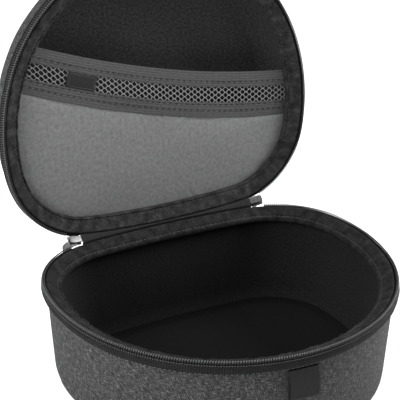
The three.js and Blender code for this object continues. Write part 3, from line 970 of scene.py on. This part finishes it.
def band(name, node, near, seams):
    """A ribbed elastic band with dashed rows of dark stitches, given as shares of its width."""
    build = Build()
    grid = band_grid(near, near + BAND_WIDTH, BAND_ROWS)
    x, y = np.moveaxis(grid, -1, 0)
    share = np.linspace(0, 1, BAND_ROWS)[:, None]
    ribs = 0.08 * MM * np.cos(share * BAND_WIDTH / BAND_RIB * 2 * math.pi)
    wave = 0.3 * MM * ripple(x, y, 0 * x, 38 * MM, seed=51)
    fade = np.sin(np.clip(share, 0.02, 0.98) * math.pi) ** 0.25
    groove = sum(bump(share, seam, 0.03) for seam in seams)
    front = POCKET_DEPTH - 0.1 * MM - ribs - wave + (1 - fade) * 0.3 * MM + groove * 0.22 * MM
    back = POCKET_DEPTH + 0.9 * MM - wave
    walked = share * BAND_WIDTH
    build.slab(place(x, y, front, "lid"), place(x, y, back, "lid"), x, walked)
    piece = build.make(name, ELASTIC, "elastic", "lid", [node])
    rows_of_thread = Build()
    for seam in seams:
        line = grid[int(seam * (BAND_ROWS - 1))].T
        path = place(*line, POCKET_DEPTH - 0.12 * MM, "lid")
        ahead = place(*line, POCKET_DEPTH - 1.1 * MM, "lid")
        stitches(rows_of_thread, path, unit(ahead - path), pitch=4.7 * MM, length=2.9 * MM, radius=0.5 * MM)
    rows_of_thread.make(name + "_stitches", DARK_THREAD, "elastic", "lid")


def pocket_net():
    """Net of wavy threads that touch their neighbours, which leaves staggered round-cornered holes."""
    build = Build()
    near = BAND_WIDTH - NET_HEM
    far = BAND_WIDTH + NET_WIDTH + NET_HEM
    ends = [float(spots(run)[0]) for run in pocket_ends((near + far) / 2)]
    x = np.arange(ends[0] + 4 * MM, ends[1] - 8 * MM, NET_STEP)
    for k in range(round((far - near) / NET_ROW) + 1):
        phase = 2 * math.pi * x / NET_PITCH + k * math.pi
        swing = 0.52 * NET_ROW * (np.cos(phase) - 0.1 * np.cos(3 * phase))
        behind = near + k * NET_ROW + swing
        rise = 0.16 * MM * np.sin(phase * 2)
        relax = 0.5 * MM * ripple(x, 0 * x, 0 * x + k * 2 * MM, 55 * MM, seed=61)
        path = place(x + relax, pocket_edge(x) + behind, POCKET_DEPTH + 0.8 * MM + rise, "lid")
        way = unit(np.gradient(path, axis=0))
        up = unit(place(0, 0, 0, "lid") - place(0, 0, 1 * MM, "lid")) + 0 * way
        build.tube(path, np.cross(way, up), up, wide=0.34 * MM, tall=0.26 * MM, sides=6)
    piece = build.make("net_strip", NET_THREAD, "net", "lid", ["pocket_net"])


def pocket_panel():
    """Jersey panel, drawn flat by the elastic above it and eased into the seam all round its edge."""
    build = Build()
    top = BAND_WIDTH * 2 + NET_WIDTH - 0.4 * MM
    side = inward(along(*pocket_ends(top), PANEL_STEP), POCKET_INSET)
    across = np.linspace(side[-1, 0], side[0, 0], 150)[1:-1]
    edge = np.vstack([side, np.stack([across, pocket_edge(across) + top], -1)])
    centre = np.array(PANEL_CENTRE)
    rim = np.linalg.norm(edge - centre, axis=1)
    angles = np.arctan2(*(edge - centre).T[::-1])
    order = np.argsort(angles)

    def depth_at(px, py, extra):
        dx = px - centre[0]
        dy = py - centre[1]
        reach = np.interp(np.arctan2(dy, dx), angles[order], rim[order], period=2 * math.pi)
        from_edge = np.clip(reach - np.hypot(dx, dy), 0, None)
        crown = PANEL_CROWN * (1 - np.exp(-from_edge / (16 * MM)))
        around = np.arctan2(dy, dx) * 90 * MM
        gathers = ripple(around, 0 * px, 0 * px, 11 * MM, seed=71) * np.exp(-from_edge / (9 * MM))
        slack = ripple(px, py * 1.6, 0 * px, 60 * MM, seed=72) * (1 - np.exp(-from_edge / (20 * MM)))
        lift = crown + 0.45 * MM * gathers + 0.35 * MM * slack
        return POCKET_DEPTH + extra + 0.6 * MM - lift

    rims = []
    for extra in (0.0, PANEL_THICK):
        build.disc(edge, centre, lambda px, py: depth_at(px, py, extra), "lid", PANEL_RINGS)
        rims.append(place(*edge.T, depth_at(*edge.T, extra), "lid"))
    closed = np.vstack([edge, edge[:1]])
    build.grid(np.stack(rims, 1), lengths(closed)[:, None], np.array([[0, PANEL_THICK]]), wrap_rows=True)
    piece = build.make("jersey_panel", JERSEY, "jersey", "lid", ["pocket_panel"])


def pocket_label():
    """A blank woven label with folded ends and a plain stitched border."""
    build = Build()
    slope = math.atan(POCKET_SLOPE + 2 * POCKET_BOW * LABEL_CENTRE)
    middle = pocket_edge(LABEL_CENTRE) + BAND_WIDTH + NET_WIDTH / 2
    across = np.linspace(-0.5, 0.5, 45)[:, None] * LABEL_SIZE[0]
    up = np.linspace(-0.5, 0.5, 23)[None] * LABEL_SIZE[1]

    def put(a, b, depth):
        x = LABEL_CENTRE + a * math.cos(slope) - b * math.sin(slope)
        y = middle + a * math.sin(slope) + b * math.cos(slope)
        return place(x, y, depth, "lid")

    edge = np.minimum(0.5 - np.abs(across) / LABEL_SIZE[0], 0.5 - np.abs(up) / LABEL_SIZE[1])
    round_over = 0.18 * MM * np.exp(-edge / 0.02)
    bow = 0.35 * MM * np.cos(across / LABEL_SIZE[0] * math.pi) * np.cos(up / LABEL_SIZE[1] * math.pi)
    front = put(across, up, POCKET_DEPTH - 0.62 * MM + round_over - bow)
    back = put(across, up, POCKET_DEPTH - 0.2 * MM - bow)
    build.slab(front, back, across + 0 * up, up + 0 * across)
    build.make("blank_label", LABEL, "label", "lid", ["pocket_label"])
    border = Build()
    reach = np.array(LABEL_SIZE) / 2 - LABEL_BORDER
    corners = np.array([[-1, -1], [1, -1], [1, 1], [-1, 1]]) * reach
    for a, b in zip(corners, np.roll(corners, -1, axis=0)):
        line = np.linspace(a, b, 24)
        raised = 0.3 * MM * np.cos(line[:, 0] / LABEL_SIZE[0] * math.pi)
        path = put(*line.T, POCKET_DEPTH - 0.68 * MM - raised * 0.35)
        ahead = put(*line.T, POCKET_DEPTH - 1.7 * MM - raised * 0.35)
        stitches(border, path, unit(ahead - path), pitch=1.5 * MM, length=1.15 * MM, radius=0.13 * MM)
    border.make("label_border", GREY_THREAD, "label", "lid")


# ---------------------------------------------------------------- zip sliders

def slider_matrix(side):
    """From a slider's own axes, which run along, out and across, to its place at half of the lid's angle."""
    spot = Matrix.Translation((*inward(run_at(SLIDER_TURN * side), SLIDER_INSET), PARTING))
    turn = Matrix.Rotation(-math.radians(SLIDER_TURN) * side, 4, "Z")
    hinge = Matrix.Translation((0, HINGE_Y, PARTING))
    swing = hinge @ Matrix.Rotation(-LID_OPEN / 2, 4, "X") @ hinge.inverted()
    return swing @ spot @ turn


def rounded_outline(corners, radii, steps=5):
    """A closed outline with each corner rounded by its own radius."""
    points = []
    count = len(corners)
    for k in range(count):
        here = np.array(corners[k], float)
        before = unit(np.array(corners[k - 1], float) - here)
        after = unit(np.array(corners[(k + 1) % count], float) - here)
        radius = radii[k]
        half_angle = math.acos(float(np.clip(before @ after, -1, 1))) / 2
        reach = radius / math.tan(half_angle)
        middle = here + unit(before + after) * radius / math.sin(half_angle)
        first = here + before * reach - middle
        last = here + after * reach - middle
        for t in np.linspace(0, 1, steps):
            arm = unit(first * (1 - t) + last * t) * radius
            points.append(middle + arm)
    return np.array(points)


def quarter_turn(count, back=False):
    """Pairs of 1 - cosine and 1 - sine through a quarter turn, or back through it."""
    ends = (math.pi / 2, 0) if back else (0, math.pi / 2)
    return [(1 - math.cos(t), 1 - math.sin(t)) for t in np.linspace(*ends, count)]


def plate(build, outline, low, high, axes, bevel):
    """A flat solid with rounded edges between two levels; axes are the outline's two axes and its normal."""
    centre = outline.mean(axis=0)
    arms = outline - centre
    size = np.linalg.norm(arms, axis=1, keepdims=True)
    levels = [(low + bevel * rise, bevel * shrink) for rise, shrink in quarter_turn(4)]
    levels += [(high - bevel * rise, bevel * shrink) for rise, shrink in quarter_turn(4, back=True)]
    points = np.zeros((len(levels), len(outline), 3))
    for row, (level, shrink) in zip(points, levels):
        row[:, axes[:2]] = centre + arms * (1 - shrink / size)
        row[:, axes[2]] = level
    u = np.linspace(0, 1, len(outline) + 1)[None] * 30 * MM
    v = np.linspace(0, high - low, len(levels))[:, None]
    build.grid(points, u + 0 * v, v + 0 * u, wrap_across=True)
    for end in (points[0], points[-1]):
        build.polygon(end, end[:, axes[:2]])


def sweep(build, path, width_axis, width, thick, closed=False):
    """A bar of rounded rectangular section along a path; width_axis is the direction of its width."""
    way = np.gradient(path, axis=0)
    if closed:
        way = np.roll(path, -1, axis=0) - np.roll(path, 1, axis=0)
    way = unit(way)
    across = np.zeros_like(path) + width_axis
    up = unit(np.cross(way, across))
    turn = np.linspace(0, 2 * math.pi, 17)[:-1]
    power = 0.45
    a = np.sign(np.cos(turn)) * np.abs(np.cos(turn)) ** power * width / 2
    b = np.sign(np.sin(turn)) * np.abs(np.sin(turn)) ** power * thick / 2
    points = path[:, None] + across[:, None] * a[:, None] + up[:, None] * b[:, None]
    walked = lengths(np.vstack([path, path[:1]]) if closed else path)[:, None]
    build.grid(points, walked, np.linspace(0, 2 * (width + thick), 17)[None], closed, True)
    if not closed:
        build.polygon(points[0], np.zeros((16, 2)))
        build.polygon(points[-1], np.zeros((16, 2)))


def slider(side, side_name):
    """A cast slider, the arch on its outer face, and the pull tab that hangs in the arch."""
    body_name = f"{side_name}_slider"
    matrix = slider_matrix(side)
    half_thick = SLIDER_THICK / 2

    def cast(shape, name, rides_on, stands_for):
        shape.make(name, METAL, "slider_metal", rides_on, [stands_for], matrix)

    build = Build()
    corners = [(-5.2, -3.1), (1.5, -3.95), (5.2, -3.7), (5.2, 3.7), (1.5, 3.95), (-5.2, 3.1)]
    radii = [1.5, 4, 1.2, 1.2, 4, 1.5]
    outline = rounded_outline(corners, radii) * MM * [side, 1]
    for facing, share in ((-1, 0.65), (1, 1.0)):
        middle = facing * (half_thick - SLIDER_PLATE / 2)
        low = middle - SLIDER_PLATE / 2
        plate(build, outline * [1, share], low, low + SLIDER_PLATE, FACING_OUT, bevel=0.28 * MM)
        for edge in (-share, share):
            flange = np.linspace([-4.6 * side, 0, 2.85 * edge], [1.2 * side, 0, 3.45 * edge], 8) * MM
            flange[:, 1] = middle - facing * (SLIDER_PLATE / 2 + 0.1 * MM)
            sweep(build, flange, ACROSS, width=0.75 * MM, thick=0.9 * MM)
    neck = rounded_outline([(0.6, -0.7), (4.2, -1.4), (4.2, 1.4), (0.6, 0.7)], [0.3, 0.6, 0.6, 0.3]) * MM
    neck_half = half_thick - 0.5 * MM
    plate(build, neck * [side, 1], -neck_half, neck_half, FACING_OUT, bevel=0.1 * MM)
    cast(build, f"{body_name}_casting", body_name, f"{side_name}_slider_body")

    arch = Build()
    foot = half_thick - 0.15 * MM
    top = half_thick + SLIDER_ARCH
    reach = 3.6 * MM
    bend = 1.5 * MM
    path = [(-reach, foot, 0), (-reach, foot + 0.7 * MM, 0)]
    path += [(-reach + bend * a, top - bend * b, 0) for a, b in quarter_turn(6)]
    path += [(reach - bend * a, top - bend * b, 0) for a, b in quarter_turn(6, back=True)]
    path += [(reach, foot + 0.7 * MM, 0), (reach, foot, 0)]
    sweep(arch, np.array(path), ACROSS, width=2.7 * MM, thick=0.95 * MM)
    cast(arch, f"{body_name}_arch", body_name, f"{side_name}_slider_bridge")

    tab = Build()
    start = half_thick + 1.15 * MM
    ring = rounded_outline([(-2.55, 0.0), (2.55, 0.0), (2.3, 4.9), (-2.3, 4.9)], [0.9, 0.9, 0.8, 0.8]) * MM
    eye = np.stack([0 * ring[:, 0], start + ring[:, 1], ring[:, 0]], -1)
    sweep(tab, eye, ALONG, width=1.25 * MM, thick=1.2 * MM, closed=True)
    tail = [(-2.2, 4.6), (2.2, 4.6), (3.15, 7.5), (3.05, 13.9), (-3.05, 13.9), (-3.15, 7.5)]
    blade = rounded_outline(tail, [0.5, 0.5, 3, 2.6, 2.6, 3], steps=7) * MM + [0, start]
    plate(tab, blade[:, ::-1], -0.36 * MM, 0.36 * MM, FACING_ALONG, bevel=0.12 * MM)
    rim = np.stack([0 * blade[:, 0], blade[:, 1], blade[:, 0] * 0.93], -1)
    sweep(tab, rim, ALONG, width=1.25 * MM, thick=0.75 * MM, closed=True)
    for k in range(4):
        y = start + (8.2 + 1.15 * k) * MM
        bar = np.linspace([0, y, -1.7 * MM], [0, y, 1.7 * MM], 6)
        sweep(tab, bar, ALONG, width=1.05 * MM, thick=0.5 * MM)
    cast(tab, f"{side_name}_pull_tab", f"{side_name}_pull", f"{side_name}_puller")


# ---------------------------------------------------------------- front loop

def loop_face(drop):
    """How far the loop's face stands off the canvas, at a distance below its top."""
    pinch = np.interp(drop, [0, 2.5 * MM, 9 * MM], [1, 0.9, 0])
    return LOOP_THICK - pinch * (LOOP_THICK - LOOP_NECK)


def front_loop():
    """Folded webbing, sewn flat at its top, which stands a little off the canvas."""
    radius = ARCS[3, 0]
    angle = math.pi - math.asin(abs(LOOP_X) / radius)
    run = math.copysign(run_at(math.degrees(angle)), LOOP_X)
    x, y, nx, ny = (float(value) for value in spots(run))
    inset = SHELL_INSET - LOOP_STAND_OFF
    origin = np.array([x - nx * inset, y - ny * inset, PARTING - LOOP_TOP])
    out = np.array([nx, ny, 0])
    sideways = np.array([-ny, nx, 0])
    raised = np.array([0, 0, 1.0])
    bottom = LOOP_THICK / 2
    bend = bottom - LOOP_WEB / 2
    straight = LOOP_LENGTH - bottom + LOOP_TUCK
    down = np.linspace(0, 1, 14)
    line = [(LOOP_WEB / 2, LOOP_TUCK - t * straight) for t in down]
    for t in np.linspace(0, math.pi, 10)[1:-1]:
        line.append((bottom - bend * math.cos(t), -LOOP_LENGTH + bottom - bend * math.sin(t)))
    line += [(loop_face(t * LOOP_LENGTH) - LOOP_WEB / 2, LOOP_TUCK - t * straight) for t in down[::-1]]
    line = np.array(line)
    across = np.linspace(-0.5, 0.5, 25) * LOOP_WIDTH
    way = unit(np.gradient(line, axis=0))
    normal = np.stack([way[:, 1], -way[:, 0]], -1)
    edge = np.minimum(1, (0.5 - np.abs(across) / LOOP_WIDTH) * LOOP_WIDTH / (0.8 * MM) + 0.35)
    grids = []
    for sign in (-1, 1):
        flat = line[:, None] + normal[:, None] * (sign * LOOP_WEB / 2 * edge)[None, :, None]
        grids.append(origin + flat[..., :1] * out + flat[..., 1:] * raised + across[None, :, None] * sideways)
    build = Build()
    build.slab(grids[0], grids[1], across[None], lengths(line)[:, None])
    build.make("webbing_loop", WEBBING, "webbing", "loop", ["front_loop"])

    anchor = Build()
    drop = np.array([[-1.6], [0], [0.9]]) * MM
    grids = []
    for depth_in in (0.2 * MM, 1.1 * MM):
        flat = origin - depth_in * out - drop[..., None] * raised
        grids.append(flat + across[None, :, None] * sideways)
    anchor.slab(grids[0], grids[1], across[None], drop)
    anchor.make("loop_sewn_end", WEBBING, "webbing", "base")

    seam = Build()
    for drop in (1.2 * MM, 3.4 * MM):
        spread = np.linspace(-0.44, 0.44, 20)[:, None] * LOOP_WIDTH
        path = origin + loop_face(drop) * out + sideways * spread - drop * raised
        stitches(seam, path, out + 0 * path, pitch=2.3 * MM, length=1.7 * MM, radius=0.2 * MM)
    seam.make("loop_seam", DARK_THREAD, "webbing", "loop")


# ---------------------------------------------------------------- studio

def studio():
    """A pale floor under a sky that is brighter low down, with two softboxes and a soft overhead light."""
    scene = bpy.context.scene
    scene.view_settings.view_transform = "Standard"
    world = bpy.data.worlds.new("studio")
    world.use_nodes = True
    tree = world.node_tree
    background = tree.nodes["Background"]
    background.inputs["Color"].default_value = (1, 1, 1, 1)
    ways = add_node(tree, "ShaderNodeTexCoord", {}, "Generated")
    height = add_node(tree, "ShaderNodeSeparateXYZ", {0: ways}, "Z")
    strength = add_node(tree, "ShaderNodeMapRange", {"Value": height, **SKY})
    tree.links.new(strength, background.inputs["Strength"])
    scene.world = world

    corners = np.array([[-1, -1, 0], [1, -1, 0], [1, 1, 0], [-1, 1, 0]]) * FLOOR_REACH
    build = Build()
    build.polygon(corners)
    floor = build.make("studio_floor", floor_finish(), "floor")

    for name, (spot, width, power) in SOFTBOXES.items():
        light = bpy.data.lights.new(name, "AREA")
        light.shape = "SQUARE"
        light.size = width
        light.energy = power
        lamp = bpy.data.objects.new(name + "_softbox", light)
        lamp.location = spot
        aim = Vector(SOFTBOX_TARGET) - lamp.location
        lamp.rotation_euler = aim.to_track_quat("-Z", "Y").to_euler()
        scene.collection.objects.link(lamp)
    overhead = bpy.data.lights.new("overhead", "SUN")
    overhead.energy = OVERHEAD_STRENGTH
    overhead.angle = math.radians(OVERHEAD_SPREAD)
    scene.collection.objects.link(bpy.data.objects.new("overhead", overhead))


def camera():
    """At the photograph's viewing angle."""
    azimuth = math.radians(CAMERA_AZIMUTH)
    elevation = math.radians(CAMERA_ELEVATION)
    away = Vector((math.sin(azimuth) * math.cos(elevation), -math.cos(azimuth) * math.cos(elevation),
                   math.sin(elevation)))
    settings = bpy.data.cameras.new("camera")
    settings.sensor_width = 36
    settings.lens = CAMERA_LENS
    settings.clip_start = 0.01
    made = bpy.data.objects.new("camera", settings)
    made.location = Vector(CAMERA_TARGET) + away * CAMERA_DISTANCE
    made.rotation_euler = (-away).to_track_quat("-Z", "Y").to_euler()
    bpy.context.scene.collection.objects.link(made)
    bpy.context.scene.camera = made


camera()
studio()
for part, wall_cloth, floor_name, floor_cloth, edging in (
        ("base", FLEECE, "floor", FLOOR_FLEECE_PAINTED_SHADE, BINDING),
        ("lid", LID_FLEECE_PAINTED_LIGHT, "ceiling", LID_FLEECE_PAINTED_LIGHT, LID_BINDING_PAINTED_LIGHT)):
    shell(part)
    wall_lining(part, wall_cloth)
    floor_lining(part, floor_cloth, floor_name)
    binding(part, edging)
    zip_tape(part)
    zip_coil(part)
hinge_web()
band("pocket_band_top", "pocket_top_elastic", 0, (0.66,))
band("pocket_band_low", "pocket_lower_elastic", BAND_WIDTH + NET_WIDTH, (0.14, 0.52))
pocket_net()
pocket_panel()
pocket_label()
for hand, hand_name in ((-1, "left"), (1, "right")):
    slider(hand, hand_name)
front_loop()
